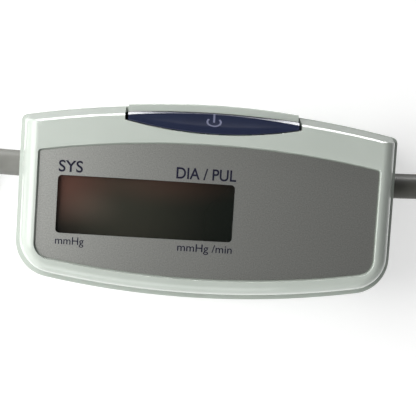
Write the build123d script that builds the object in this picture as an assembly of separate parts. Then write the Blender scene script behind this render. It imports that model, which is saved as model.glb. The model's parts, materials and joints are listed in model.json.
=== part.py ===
from build123d import *
import math
import os

# Compact digital blood pressure monitor for the upper arm, inflated by hand.
# Millimetres. The monitor lies on its back: +Z is up through the face, +Y points to the
# edge with the start button, +X to the right. The origin is on the table, under the
# middle of the case. A hose leaves each short end.

# ---- case ----
case_half_width = 65.7       # rear shell at the parting line
case_half_height = 33.9
top_drop = 0.95              # its edge on the button's side is this much nearer the middle
foot_height = 0.8
front_depth = 8.8            # from the parting line up to the front surface
wall = 2.0
rear_inset = 5.0             # how much smaller the back face is than the parting line
rear_draft = 0.15            # share of that inset that is even draft, the rest is rolled in
rear_corner_step = 0.5       # the rear shell's corners are this much rounder than the front's
corner_shrink = 1.0          # of the front shell's top corners, from the parting line up
least_corner = 0.6
top_bow = 332.0              # radius of the long edge on the button's side
bottom_bow = 322.0           # radius of the other long edge
rim_step = 1.3               # the rear shell stands this far outside the front shell
rim_step_top = 0.2
rim_step_bottom = 1.7
top_corner = 1.8
bottom_corner = 12.5
side_roll = 4.1              # width of the rolled edge at both ends
bottom_roll = 4.3
top_draft = 2.15             # lean of the wall under the front edge on the button's side
front_edge = 1.2             # radius of that front edge
lip_height = 1.5
lip_thick = 1.1
shell_gap = 0.2              # between mating plastic parts
seam = 0.01                  # the hollow reaches this far below the parting line
past = 1.0                   # how far a cutter reaches past what it cuts
beyond = 400.0               # a cutter that leaves the case altogether

# ---- face ----
side_border = 6.1            # frame between the front shell's outline and the panel
top_border = 12.7
bottom_border = 6.03
panel_thick = 0.4
panel_depth = 0.8            # from the frame's front surface down to the panel
panel_top_corner = 1.0
panel_bottom_corner = 5.2
window_left = 6.7            # from the panel's ends to the window
window_right = 49.7
window_height = 19.8
window_rise = 0.06           # of the window's middle above the panel's
window_corner = 1.0
window_thick = 1.4
window_ledge = 1.2
window_sink = 0.15           # the window's surface lies this far under the panel's

# ---- display and board ----
board_thick = 1.6
board_left_inset = 8.7       # from the case's ends to the board
board_right_inset = 19.7
board_top_rise = 16.5        # of the board's edges from the window's middle
board_bottom_drop = 14.5
board_lift = 0.2             # of the board above the battery bay
tongue_half_width = 14.0
tongue_inset = 4.15          # from the front shell's edge to the end of the board's tongue
board_gap = 6.0              # from the board up to the plate under the face panel
glass_thick = 2.4
glass_overlap = 3.0          # of the display glass past the window, each side
gasket_thick = 0.5
holder_wall = 1.2
holder_fit = 0.15            # round the glass in its holder, each side
holder_step = 0.3            # the holder ends this far under the glass's front
holder_rest = 2.5            # width of the holder under the glass's ends
zebra_width = 2.4
zebra_inset = 0.6            # from the glass's edge
zebra_fit = 0.1
chip_size = 12.0
chip_thick = 1.4
buzzer_gap = 3.05            # from the battery bay's end
buzzer_radius = 6.0
buzzer_thick = 3.0
buzzer_hole = 1.0
can_radius = 2.5
can_height = 5.0
can_inset = 17.0             # of the nearer can from the board's right end
can_pitch = 7.0
can_drop = 5.5               # from the board's upper edge
crystal_size = (10.0, 4.0, 3.0)
small_chip_size = (8.0, 8.0, 1.2)
resistor_size = (2.0, 1.2, 0.8)
resistor_pitch = 4.0
resistor_count = 5

# ---- start button ----
notch_half_width = 30.2
notch_depth = 9.15           # from the front shell's edge to the notch's lowest point
notch_bow = 139.0            # radius of its curved edge
button_end_gap = 1.0
button_gap = 0.25
button_setback = 1.9         # of the button's outer edge behind the front shell's
button_band = 2.2            # plain band between the notch and the ridge of the dish
band_taper = 0.45            # share of the band lost at the button's ends
ridge_drop = 0.25            # the ridge lies this far under the front surface
brow_step = 0.2              # the dish starts this far under the ridge and over the edge
brow_setback = 0.15
button_edge = 1.0            # depth and width of the slope along the outer edge, at the ends
button_foot_rise = 1.3       # of the button's underside above the parting line
button_edge_depth = 1.9      # of the outer edge under the front surface, in the middle
dish_half_length = 29.2
dish_depth = 0.15
dish_lean = 0.7              # of the dish's depth, along Y and along Z
button_travel = 1.0
button_pocket = 3.0          # height of the hollow under the button
button_wall = 1.5
button_end_wall = 5.0
post_x = 20.0
post_setback = 5.35          # behind the front shell's edge
post_radius = 1.5
post_fit = 0.06
post_foot_depth = 6.5        # of the guide posts' feet under the parting line
post_bottom_gap = 0.5
sleeve_wall = 1.4
dome_radius = 3.2
dome_setback = 6.85
dome_wall = 0.6
plunger_radius = 2.0
keeper_x = 14.0
keeper_length = 6.0
keeper_thick = 1.5
keeper_reach = 1.6           # under the front shell's plate
root = 0.5                   # how far a small part runs into the one that carries it
guard_gap = 0.2              # between the button and the rear shell's wall behind it
guard_depth = 3.3            # of that wall's top under the front surface
guard_step = 0.77            # it stands this far proud of the rear shell's edge
guard_bow = 283.0            # radius of its outer face
guard_edge = 0.4
guard_reach = 10.0           # below the parting line

# ---- batteries ----
cell_radius = 7.25
cell_length = 49.2
nub_radius = 2.75
nub_length = 1.3
cell_pitch = 15.5
cell_floor = 3.4
cell_edge = 0.6
cell_row_inset = 19.3        # from the case's bottom edge to the middle of the two cells
spring_length = 6.2
spring_radius = 4.0
spring_wire = 0.8
spring_turns = 4
contact_thick = 0.4
bay_wall = 1.2
bay_clearance = 0.7
door_margin = 2.2            # of the door past the bay, each side
door_skin = 1.7
door_lip_rise = 7.0          # of the door's lip above the back face
grip_count = 5
grip_pitch = 2.4
grip_half_length = 9.0
grip_half_width = 0.5
grip_depth = 0.5
grip_inset = 5.0
spring_cone = 8.0
contact_width = 10.0
contact_height = 11.0
tab_width = 3.0
tab_gap = 0.2
door_gap = 0.3
rail_depth = 1.0
rail_height = 0.7
rail_rise = 0.5              # of the rails above the back face

# ---- air path ----
hose_diameter = 9.0
hose_bore = 5.0
press = 0.02                 # a shaft is this much thinner than the hole it is pressed into
port_clearance = 3.4         # between the battery bay and the manifold
port_drop = 4.6              # of the ports under the board
port_shaft_radius = 3.6
port_stub = 0.2              # of the shaft outside the case
port_reach = 2.9             # length of the shaft through the end wall
nipple_length = 11.0
nipple_bore = 2.6
port_flange_radius = 4.9
port_flange_thick = 1.6
barb_length = 7.0
tube_end_gap = 0.1
tube_outside = 6.4
tube_bore = 3.6
manifold_half = 12.0
manifold_radius = 3.8
sensor_width = 9.0
sensor_reach = 8.1           # from the manifold's middle to the sensor
sensor_depth = 7.0
sensor_height = 6.0
sensor_nozzle_radius = 1.3
sensor_tube_radius = 2.6
nozzle_gap = 0.4             # between the two nozzles in the sensor's tube
saddle_x = 7.0
saddle_width = 4.0
bleed_x = 7.0
bleed_radius = 2.6
bleed_length = 5.0
bleed_drop = 0.8             # of the valve's seat under the manifold
bleed_cap = 1.2
bleed_cap_lip = 0.8
connector_radius = 5.0
connector_length = 16.0
connector_edge = 0.6
plug_radius = 3.2
plug_length = 12.0

# ---- fasteners and feet ----
screw_radius = 1.3
screw_head_radius = 2.5
screw_head_height = 1.8
screw_hole_gap = 0.1
screw_head_gap = 0.3
screw_seat_rise = 5.2        # of the screw heads' seats above the back face
screw_tip_rise = 5.0         # of the screws' tips above the parting line
screw_tip_gap = 0.5
slot_depth = 0.8             # of the cross slots
boss_radius = 3.4
boss_inset = 13.7            # of the upper bosses from the case's ends
boss_bottom_inset = 15.7
boss_gap = 1.5               # between the upper bosses and the board
boss_bottom_gap = 0.5
tongue_screw_x = -9.5
tongue_screw_rise = 4.0      # above the board's upper edge
board_screw_inset = 6.0      # from the board's right end
board_screw_margin = 3.5     # from the board's long edges
board_post_radius = 2.4
board_screw_head = 1.9
board_screw_head_height = 1.3
board_screw_radius = 1.0
board_screw_length = 5.5
foot_radius = 4.0
foot_gap = 0.1
foot_inset_x = 23.7          # from the case's edges to a foot's middle
foot_inset_y = 13.4
foot_recess = 0.5

# ---- hoses as they lie ----
fold_half_width = 30.0       # from the middle of a folded hose to its long runs
hank_near = 84.5             # middle of the hose at the hank's near end, from the middle
hank_far = 213.5
hank_lift = 0.8              # thickness of the tie under the hank
tie_width = 12.0
tie_x = -172.0
tie_inset = 0.8              # the tied run is pulled this far towards the middle
tie_edge = 2.0
left_plug_x = -150.0         # where the left hose's plug starts, on top of the hank
hank_climb_x = -140.0        # the second turn lies on the first from here on

# ---- worked out from the sizes above ----
back_z = foot_height

# battery bay, and above it the board, the display and the face
cell_row_y = cell_row_inset - case_half_height
cell_rows = (cell_row_y - cell_pitch / 2, cell_row_y + cell_pitch / 2)
cell_z = cell_floor + cell_radius
bay_half_length = (cell_length + nub_length + spring_length) / 2 + contact_thick
bay_top_z = cell_floor + 2 * cell_radius + bay_clearance
bay_y_low = cell_rows[0] - cell_radius - bay_clearance
bay_y_high = cell_rows[1] + cell_radius + bay_clearance
board_z = bay_top_z + bay_wall + board_lift
board_top_z = board_z + board_thick
plate_z = board_top_z + board_gap                          # underside of the plate
recess_z = plate_z + wall
face_z = recess_z + panel_thick + panel_depth              # front surface of the frame
parting_z = face_z - front_depth
glass_top_z = plate_z - gasket_thick
glass_z = glass_top_z - glass_thick

# outlines seen from the front
front_half_width = case_half_width - rim_step
rear_top = case_half_height - top_drop
front_top = rear_top - rim_step_top
front_bottom = rim_step_bottom - case_half_height
panel_half_width = front_half_width - side_border
panel_top = front_top - top_border
panel_bottom = front_bottom + bottom_border
window_width = 2 * panel_half_width - window_left - window_right
window_x = window_left + window_width / 2 - panel_half_width
window_y = (panel_top + panel_bottom) / 2 + window_rise
window_seat_z = face_z - panel_depth - window_sink - window_thick
glass_width = window_width + 2 * glass_overlap
glass_height = window_height + 2 * glass_overlap
zebra_y = window_y + (glass_height - zebra_width) / 2 - zebra_inset
board_left = board_left_inset - case_half_width
board_right = case_half_width - board_right_inset
board_top = window_y + board_top_rise
board_bottom = window_y - board_bottom_drop
tongue_top = front_top - tongue_inset
foot_x = case_half_width - foot_inset_x
foot_y = case_half_height - foot_inset_y

# fasteners
screw_seat_z = back_z + screw_seat_rise
screw_tip_z = parting_z + screw_tip_rise
boss_top_y = board_top + boss_gap + boss_radius
boss_bottom_y = board_bottom - boss_bottom_gap - boss_radius
case_screw_spots = [(side * (case_half_width - inset), y) for side in (-1, 1)
                    for inset, y in ((boss_inset, boss_top_y), (boss_bottom_inset, boss_bottom_y))]
board_screw_spots = [(tongue_screw_x, board_top + tongue_screw_rise),
                     (board_right - board_screw_inset, board_top - board_screw_margin),
                     (board_right - board_screw_inset, board_bottom + board_screw_margin)]

# button
notch_low = front_top - notch_depth
button_half_length = notch_half_width - button_end_gap
button_top = front_top - button_setback
button_foot_z = parting_z + button_foot_rise
button_edge_z = face_z - button_edge_depth
post_y = front_top - post_setback
post_foot_z = parting_z - post_foot_depth
sleeve_top_z = parting_z - lip_height - 1.5 * shell_gap
keeper_z = face_z - wall - 1.5 * shell_gap
dome_y = front_top - dome_setback
dome_top_z = button_foot_z
guard_z = face_z - guard_depth

# door
door_half_width = bay_half_length + door_margin
door_lip_z = back_z + door_lip_rise
rail_z = back_z + rail_rise

# air path
port_y = bay_y_high + bay_wall + manifold_radius + port_clearance
port_z = board_z - port_drop
port_face_x = case_half_width + port_stub
sensor_y = port_y + sensor_reach
nozzle_y = (port_y + manifold_radius + sensor_y) / 2
bleed_top_z = port_z - manifold_radius - bleed_drop
left_plug_z = hank_lift + hose_diameter + connector_radius + 0.1


def drop(radius, x):
    """How far an arc of this radius has fallen at x from its highest point."""
    return radius - math.sqrt(radius * radius - x * x)


def outline(z, half_width, top, bottom, corner_top, corner_bottom):
    """A flat face like the case seen from the front, at height z."""
    upper_end = top - drop(top_bow, half_width)
    lower_end = bottom + drop(bottom_bow, half_width)
    with BuildSketch(Plane.XY.offset(z)) as sketch:
        with BuildLine():
            ThreePointArc((-half_width, upper_end), (0, top), (half_width, upper_end))
            Line((half_width, upper_end), (half_width, lower_end))
            ThreePointArc((half_width, lower_end), (0, bottom), (-half_width, lower_end))
            Line((-half_width, lower_end), (-half_width, upper_end))
        make_face()
        fillet(sketch.vertices().sort_by(Axis.Y)[-2:], corner_top)
        fillet(sketch.vertices().sort_by(Axis.Y)[:2], corner_bottom)
    return sketch.sketch.faces()[0]


def front_body(inset):
    """The front shell as a full body, its surface moved inwards by inset."""
    height = face_z - parting_z
    sections = []
    for degrees in (0, 20, 38, 54, 66, 76, 83, 90):
        rise = math.sin(math.radians(degrees))
        out = math.cos(math.radians(degrees))
        z = parting_z + height * rise
        over = max(0.0, z - (face_z - front_edge))
        edge = front_edge - math.sqrt(max(0.0, front_edge ** 2 - over ** 2))
        top = front_top - top_draft * rise - edge
        sections.append(outline(
            parting_z + (height - inset) * rise,
            front_half_width - side_roll * (1 - out) - inset,
            top - inset,
            front_bottom + bottom_roll * (1 - out) + inset,
            max(least_corner, top_corner - corner_shrink * rise - inset),
            max(least_corner, bottom_corner - side_roll * (1 - out) - inset)))
    return loft(sections)


def rear_body(inset):
    """The rear shell as a full body, its surface moved inwards by inset."""
    height = parting_z - back_z
    sections = []
    for share in (0.0, 0.2, 0.4, 0.6, 0.76, 0.88, 0.96, 1.0):
        inward = rear_inset * (rear_draft * share + (1 - rear_draft) * share ** 6)
        sections.append(outline(
            parting_z - (height - inset) * share,
            case_half_width - inward - inset,
            rear_top - inward - inset,
            -case_half_height + inward + inset,
            max(least_corner, top_corner + rear_corner_step - inward / 2 - inset),
            max(least_corner, bottom_corner + rear_corner_step - inward - inset)))
    return loft(sections)


def guard():
    """Wall of the rear shell behind the button, with a slanted lower end."""
    half = button_half_length
    outside = rear_top + guard_step
    inside = button_top + guard_gap
    outer_end = outside - drop(guard_bow, half)
    inner_end = inside - drop(top_bow, half)
    foot_z = parting_z - guard_reach
    with BuildSketch(Plane.XY.offset(foot_z)) as sketch:
        with BuildLine():
            ThreePointArc((-half, outer_end), (0, outside), (half, outer_end))
            Line((half, outer_end), (half, inner_end))
            ThreePointArc((half, inner_end), (0, inside), (-half, inner_end))
            Line((-half, inner_end), (-half, outer_end))
        make_face()
    body = extrude(sketch.sketch, amount=guard_z - foot_z)
    rim = body.edges().group_by(Axis.Z)[-1].sort_by(Axis.Y)[-1]
    body = fillet(rim, guard_edge)
    depth = outside - inner_end + past
    with BuildSketch(Plane.YZ.offset(-half - past)) as slope:
        with BuildLine():
            Polyline((inner_end - past, foot_z - past), (outside + past, foot_z - past),
                     (outside + past, foot_z + depth), (inner_end - past, foot_z - past))
        make_face()
    return body - extrude(slope.sketch, amount=2 * (half + past))


def block(x0, x1, y0, y1, z0, z1):
    """A box between these corners."""
    size = Box(x1 - x0, y1 - y0, z1 - z0)
    return Pos((x0 + x1) / 2, (y0 + y1) / 2, (z0 + z1) / 2) * size


def rod(x, y, z0, z1, radius):
    """A cylinder along Z."""
    return Pos(x, y, (z0 + z1) / 2) * Cylinder(radius, z1 - z0)


def rod_x(x0, x1, y, z, radius):
    """A cylinder along X."""
    return Pos((x0 + x1) / 2, y, z) * Rot(0, 90, 0) * Cylinder(radius, abs(x1 - x0))


def rod_y(x, y0, y1, z, radius):
    """A cylinder along Y."""
    return Pos(x, (y0 + y1) / 2, z) * Rot(90, 0, 0) * Cylinder(radius, abs(y1 - y0))


def slab(width, height, corner, x, y, z0, z1):
    """A plate with rounded corners."""
    plate = Pos(x, y, (z0 + z1) / 2) * Box(width, height, z1 - z0)
    return fillet(plate.edges().filter_by(Axis.Z), corner)


def save(name, shape):
    """Writes one node."""
    export_step(shape, f"parts/{name}.step")


def group(shapes):
    """Separate solids that share one node."""
    return Compound(children=[s.solid() for s in shapes])


def notch(half_width, low, radius, z0, z1):
    """The space above a curved edge, open towards +Y."""
    end = low + drop(radius, half_width)
    far = case_half_height + past
    with BuildSketch(Plane.XY.offset(z0)) as sketch:
        with BuildLine():
            ThreePointArc((-half_width, end), (0, low), (half_width, end))
            Line((half_width, end), (half_width, far))
            Line((half_width, far), (-half_width, far))
            Line((-half_width, far), (-half_width, end))
        make_face()
    return extrude(sketch.sketch, amount=z1 - z0)


def front_shell():
    shell = front_body(0) - Pos(0, 0, -seam) * front_body(wall)
    plate = outline(plate_z, panel_half_width + wall, panel_top + wall,
                    panel_bottom - wall, panel_top_corner, panel_bottom_corner)
    shell += extrude(plate, amount=wall + panel_thick)
    recess = outline(recess_z, panel_half_width + shell_gap / 2, panel_top + shell_gap / 2,
                     panel_bottom - shell_gap / 2, panel_top_corner, panel_bottom_corner)
    shell -= extrude(recess, amount=beyond)
    shell -= slab(window_width + 2 * shell_gap, window_height + 2 * shell_gap, window_corner,
                  window_x, window_y, window_seat_z, face_z)
    shell -= slab(window_width - 2 * window_ledge, window_height - 2 * window_ledge,
                  window_corner, window_x, window_y, plate_z - past, face_z)
    # Its corners are rounder than the rear shell's inner ones, so that it goes in.
    lip_out = case_half_width - wall - shell_gap
    lip_top = rear_top - wall - shell_gap
    lip_bottom = wall + shell_gap - case_half_height
    lip_corner = top_corner + rear_corner_step + shell_gap - wall
    lip_bottom_corner = bottom_corner + rear_corner_step + shell_gap - wall
    outer = outline(parting_z - lip_height, lip_out, lip_top, lip_bottom, lip_corner,
                    lip_bottom_corner)
    inner = outline(parting_z - lip_height, lip_out - lip_thick, lip_top - lip_thick,
                    lip_bottom + lip_thick, max(least_corner, lip_corner - lip_thick),
                    max(least_corner, lip_bottom_corner - lip_thick))
    deep = lip_height + wall
    lip = extrude(outer, amount=deep) - extrude(inner, amount=deep)
    shell += lip & (front_body(0) + extrude(outer, amount=lip_height))
    for x, y in case_screw_spots:
        shell += rod(x, y, parting_z, recess_z, boss_radius)
        shell -= rod(x, y, 0, screw_tip_z + screw_tip_gap, screw_radius + screw_hole_gap)
    for x, y in board_screw_spots:
        shell += rod(x, y, board_top_z, plate_z + wall / 2, board_post_radius)
        shell -= rod(x, y, 0, board_z + board_screw_length + screw_tip_gap,
                     board_screw_radius + screw_hole_gap)
    shell -= notch(notch_half_width, notch_low, notch_bow, parting_z, face_z + past)
    return shell


def rear_shell():
    outer = rear_body(0)
    shell = outer - rear_body(wall) + guard()
    bay = block(-bay_half_length - bay_wall, bay_half_length + bay_wall,
                bay_y_low - bay_wall, bay_y_high + bay_wall, back_z, bay_top_z + bay_wall)
    shell += bay & outer
    for x, y in case_screw_spots:
        shell += rod(x, y, back_z, parting_z - shell_gap, boss_radius) & outer
        shell -= rod(x, y, 0, screw_seat_z, screw_head_radius + screw_head_gap)
        shell -= rod(x, y, 0, parting_z + past, screw_radius + screw_hole_gap)
    for side in (-1, 1):
        sleeve = rod(side * post_x, post_y, back_z, sleeve_top_z, post_radius + sleeve_wall)
        shell += sleeve & outer
        shell -= rod(side * post_x, post_y, post_foot_z - button_travel - post_bottom_gap,
                     parting_z, post_radius + post_fit)
        shell -= rod_x(side * (case_half_width - 2 * wall), side * (case_half_width + wall),
                       port_y, port_z, port_shaft_radius)
        for y in (-foot_y, foot_y):
            shell -= rod(side * foot_x, y, 0, back_z + foot_recess, foot_radius + foot_gap)
    shell += block(-saddle_x - saddle_width / 2, -saddle_x + saddle_width / 2,
                   port_y - manifold_radius, port_y + manifold_radius, back_z + wall / 2,
                   port_z - manifold_radius)
    # The bay is open at the back, under the door, which also wraps the long edge.
    shell -= block(-bay_half_length, bay_half_length, bay_y_low, bay_y_high, -past, bay_top_z)
    for x, y, width in contact_spots():
        slot = contact_thick + 2 * tab_gap
        shell -= Pos(x, y, bay_top_z) * Box(slot, tab_width + 2 * tab_gap, 4 * bay_wall)
    mouth = door_half_width + door_gap
    skin = outer - rear_body(door_skin + door_gap)
    shell -= skin & block(-mouth, mouth, -case_half_height - past, bay_y_high + door_gap, -past,
                          door_lip_z + door_gap)
    for side in (-1, 1):
        x0, x1 = sorted((side * (mouth - rail_depth), side * (mouth + root)))
        shell += block(x0, x1, bay_y_low, bay_y_high, rail_z, rail_z + rail_height) & outer
    return shell


def battery_door():
    skin = rear_body(0) - rear_body(door_skin)
    door = skin & block(-door_half_width, door_half_width, -case_half_height - past, bay_y_high,
                        back_z, door_lip_z)
    groove = rail_depth + door_gap
    for side in (-1, 1):
        x0, x1 = sorted((side * (door_half_width + door_gap - groove),
                         side * (door_half_width + past)))
        door -= block(x0, x1, -case_half_height - past, bay_y_high + past, rail_z - door_gap,
                      rail_z + rail_height + door_gap)
    for k in range(grip_count):
        y = bay_y_high - grip_inset - grip_pitch * k
        door -= block(-grip_half_length, grip_half_length, y - grip_half_width,
                      y + grip_half_width, back_z - past, back_z + grip_depth)
    return door.solid()


def face_panel():
    face = outline(recess_z, panel_half_width, panel_top, panel_bottom,
                   panel_top_corner, panel_bottom_corner)
    panel = extrude(face, amount=panel_thick)
    return panel - slab(window_width + shell_gap, window_height + shell_gap, window_corner,
                        window_x, window_y, recess_z - past, face_z)


def start_button():
    stations = (-1.0, -0.92, -0.7, -0.4, 0.0, 0.4, 0.7, 0.92, 1.0)
    sections = []
    for share in stations:
        x = share * button_half_length
        part = min(1.0, abs(x) / dish_half_length) ** 2
        low = notch_low + button_gap + drop(notch_bow, x)
        top = button_top - drop(top_bow, x)
        ridge_y = low + button_band * (1 - band_taper * part)
        ridge_z = face_z - ridge_drop
        brow_y = top - brow_setback - (button_edge - brow_setback) * part
        edge_z = button_edge_z + (button_edge_depth - button_edge) * part
        brow_z = ridge_z - brow_step - (ridge_z - button_edge_z - 2 * brow_step) * (1 - part)
        dip = dish_lean * dish_depth * (1 - part)
        middle_y = (ridge_y + brow_y) / 2 - dip
        middle_z = (ridge_z + brow_z) / 2 - dip - press
        path = [
            Line((x, low, face_z), (x, ridge_y, ridge_z)),
            ThreePointArc((x, ridge_y, ridge_z), (x, middle_y, middle_z), (x, brow_y, brow_z)),
            Line((x, brow_y, brow_z), (x, top, edge_z)),
            Line((x, top, edge_z), (x, top, button_foot_z)),
            Line((x, top, button_foot_z), (x, low, button_foot_z)),
            Line((x, low, button_foot_z), (x, low, face_z)),
        ]
        sections.append(Face(Wire(path)))
    button = loft(sections)
    pocket_top = button_foot_z + button_pocket
    pocket = notch(button_half_length - button_end_wall, notch_low + button_gap + button_wall,
                   notch_bow, button_foot_z - past, pocket_top)
    button -= pocket & block(-beyond, beyond, 0, button_top - 2 * button_wall, 0, face_z)
    button += rod(0, dome_y, dome_top_z, pocket_top + root, plunger_radius)
    for side in (-1, 1):
        button += rod(side * post_x, post_y, post_foot_z, pocket_top + root, post_radius)
        x0, x1 = sorted((side * (keeper_x - keeper_length / 2),
                         side * (keeper_x + keeper_length / 2)))
        edge = notch_low + drop(notch_bow, keeper_x)
        button += block(x0, x1, edge - keeper_reach, edge + button_gap + button_wall,
                        keeper_z - keeper_thick, keeper_z)
    return button.solid()


def button_dome():
    """Silicone dome: a foot ring, a thin cone and a flat crown."""
    height = dome_top_z - board_top_z
    with BuildSketch(Plane.XZ) as sketch:
        with BuildLine():
            Polyline((0, height - dome_wall), (plunger_radius - dome_wall, height - dome_wall),
                     (dome_radius - dome_wall, 0), (dome_radius, 0), (dome_radius, dome_wall / 2),
                     (plunger_radius, height), (0, height), (0, height - dome_wall))
        make_face()
    return Pos(0, dome_y, board_top_z) * revolve(sketch.sketch, Axis.Z)


def circuit_board():
    with BuildSketch(Plane.XY.offset(board_z)) as sketch:
        with Locations(((board_left + board_right) / 2, (board_top + board_bottom) / 2)):
            Rectangle(board_right - board_left, board_top - board_bottom)
        with Locations((0, (board_top + tongue_top) / 2)):
            Rectangle(2 * tongue_half_width, tongue_top - board_top + 2 * root)
        for x, y in board_screw_spots:
            with Locations((x, y)):
                Circle(board_screw_radius + screw_hole_gap, mode=Mode.SUBTRACT)
    return extrude(sketch.sketch, amount=board_thick)


def lcd_holder():
    """Frame that carries the display glass on the board."""
    outer = slab(glass_width + 2 * holder_wall, glass_height + 2 * holder_wall, holder_wall,
                 window_x, window_y, board_top_z, glass_top_z - holder_step)
    seat = slab(glass_width + 2 * holder_fit, glass_height + 2 * holder_fit, holder_fit,
                window_x, window_y, glass_z, face_z)
    side_rest = zebra_width + 2 * zebra_inset
    hollow = slab(glass_width - 2 * holder_rest, glass_height - 2 * side_rest, holder_wall,
                  window_x, window_y, 0, face_z)
    half = glass_width / 2 - holder_rest
    strip = block(window_x - half, window_x + half, zebra_y - zebra_width / 2 - zebra_fit,
                  zebra_y + zebra_width / 2 + zebra_fit, 0, face_z)
    return (outer - seat - hollow - strip).solid()


def battery(y, turned):
    """One AA cell along X. Its raised terminal points along turned."""
    tip = bay_half_length - contact_thick
    shoulder = tip - nub_length
    body = rod_x(turned * (shoulder - cell_length), turned * shoulder, y, cell_z, cell_radius)
    body = fillet(body.edges().filter_by(GeomType.CIRCLE), cell_edge)
    return body + rod_x(turned * (shoulder - root), turned * tip, y, cell_z, nub_radius)


def battery_spring(y, side):
    """Conical coil spring against a cell's flat end."""
    line = Helix(pitch=(spring_length - spring_wire) / spring_turns,
                 height=spring_length - spring_wire, radius=spring_radius,
                 cone_angle=spring_cone)
    wire = sweep(Plane(origin=line @ 0, z_dir=line % 0) * Circle(spring_wire / 2), path=line,
                 is_frenet=True)
    seat = side * (bay_half_length - contact_thick - spring_wire / 2)
    return Pos(seat, y, cell_z) * Rot(0, -90 * side, 0) * wire


def contact_spots():
    """Middle of each contact plate's tab, and the plate's width."""
    x = bay_half_length - contact_thick / 2
    low, high = cell_rows
    return [(-x, (low + high) / 2, cell_pitch + contact_width), (x, low, contact_width),
            (x, high, contact_width)]


def contact_plates():
    plates = []
    for x, y, width in contact_spots():
        plate = Pos(x, y, cell_z) * Box(contact_thick, width, contact_height)
        tab = Pos(x, y, (cell_z + board_z) / 2) * Box(contact_thick, tab_width, board_z - cell_z)
        plates.append(plate + tab)
    return plates


def port(side):
    """Air fitting in an end wall: nipple outside, flange and barb inside."""
    outside = side * port_face_x
    inside = side * (port_face_x - port_reach)
    body = rod_x(inside, outside, port_y, port_z, port_shaft_radius - press)
    body += rod_x(outside, side * (port_face_x + nipple_length), port_y, port_z,
                  hose_bore / 2 - press)
    body += rod_x(inside, inside - side * port_flange_thick, port_y, port_z, port_flange_radius)
    barb_start = inside - side * port_flange_thick
    body += rod_x(barb_start, barb_start - side * barb_length, port_y, port_z,
                  tube_bore / 2 - press)
    return body - rod_x(0, side * beyond, port_y, port_z, nipple_bore / 2)


def hose_tube(points):
    """A hose along straight runs that are joined by the largest tangent arcs they allow."""
    route = [Vector(*p) for p in points]
    radii = []
    for before, here, after in zip(route, route[1:], route[2:]):
        turn = math.radians((here - before).get_angle(after - here))
        shorter = min((here - before).length, (after - here).length)
        radii.append(0.45 * shorter / math.tan(turn / 2))
    print("cord radii", [round(r) for r in radii], "least", round(min(radii), 1))
    path = FilletPolyline(*route, radius=radii)
    start = Plane(origin=route[0], z_dir=route[1] - route[0])
    body = sweep(start * Circle(hose_diameter / 2), path=path)
    hollow = sweep(start * Circle(hose_bore / 2), path=path)
    area = math.pi / 4 * (hose_diameter ** 2 - hose_bore ** 2)
    tube = body - hollow
    ratio = tube.volume / area / path.length
    print("length", round(path.length, 1), "volume over section times length", round(ratio, 4))
    return tube


def connector(x, y, z, side):
    """Air plug on a hose's end, pointing along side, with a grip collar and a bored nozzle."""
    body = rod_x(x, x + side * connector_length, y, z, connector_radius)
    body = fillet(body.edges(), connector_edge)
    tip = x + side * (connector_length + plug_length)
    body += rod_x(tip - side * (plug_length + root), tip, y, z, plug_radius)
    body += rod_x(x, x - side * nipple_length, y, z, hose_bore / 2 - press)
    return body - rod_x(x - beyond, x + beyond, y, z, nipple_bore / 2)


def lcd_gasket():
    """Foam frame between the display glass and the plate."""
    outer = slab(window_width + glass_overlap, window_height + glass_overlap, window_corner,
                 window_x, window_y, glass_top_z, plate_z)
    return outer - slab(window_width - 2 * window_ledge, window_height - 2 * window_ledge,
                        window_corner, window_x, window_y, 0, face_z)


def board_parts():
    """Capacitor cans, a crystal and small chips on the board's upper side."""
    can_x = board_right - can_inset
    crystal_x = can_x - can_pitch
    crystal_y = board_top - can_drop - 4 * can_radius
    chip_x = can_x + resistor_pitch
    row_x = crystal_x - resistor_pitch
    row_y = board_bottom + can_height
    width, depth, height = crystal_size
    parts = [slab(width, depth, 0.4 * depth, crystal_x, crystal_y, board_top_z,
                  board_top_z + height)]
    for x in (can_x, can_x - can_pitch):
        parts.append(rod(x, board_top - can_drop, board_top_z, board_top_z + can_height,
                         can_radius))
    width, depth, height = small_chip_size
    parts.append(Pos(chip_x, crystal_y, board_top_z + height / 2) * Box(width, depth, height))
    width, depth, height = resistor_size
    for k in range(resistor_count):
        x = row_x + resistor_pitch * k
        parts.append(Pos(x, row_y, board_top_z + height / 2) * Box(width, depth, height))
    return parts


def air_manifold():
    """Block that joins the two hoses, the sensor and the bleed valve."""
    reach = manifold_half + barb_length
    body = rod_x(-manifold_half, manifold_half, port_y, port_z, manifold_radius)
    body += rod_x(-reach, reach, port_y, port_z, tube_bore / 2 - press)
    body += rod_y(0, port_y, nozzle_y - nozzle_gap / 2, port_z, sensor_nozzle_radius)
    body += rod(bleed_x, port_y, bleed_top_z, port_z, bleed_radius)
    body -= rod_x(-beyond, beyond, port_y, port_z, tube_bore / 4)
    return body - rod(bleed_x, port_y, 0, port_z, tube_bore / 4)


def bleed_valve():
    """Slow-leak valve that lets the cuff down during a reading."""
    low = bleed_top_z - bleed_length
    body = rod(bleed_x, port_y, low, bleed_top_z, bleed_radius)
    return body + rod(bleed_x, port_y, low - bleed_cap, low, bleed_radius + bleed_cap_lip)


def inner_tube(side):
    """Straight silicone tube from a port's barb to the manifold."""
    start = side * (port_face_x - port_reach - port_flange_thick - tube_end_gap)
    end = side * (manifold_half + tube_end_gap)
    tube = rod_x(start, end, port_y, port_z, tube_outside / 2)
    return tube - rod_x(start + side * past, end - side * past, port_y, port_z, tube_bore / 2)


def pressure_sensor():
    body = block(-sensor_width / 2, sensor_width / 2, sensor_y, sensor_y + sensor_depth,
                 board_z - sensor_height, board_z)
    return body + rod_y(0, nozzle_y + nozzle_gap / 2, sensor_y + root, port_z,
                        sensor_nozzle_radius)


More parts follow.
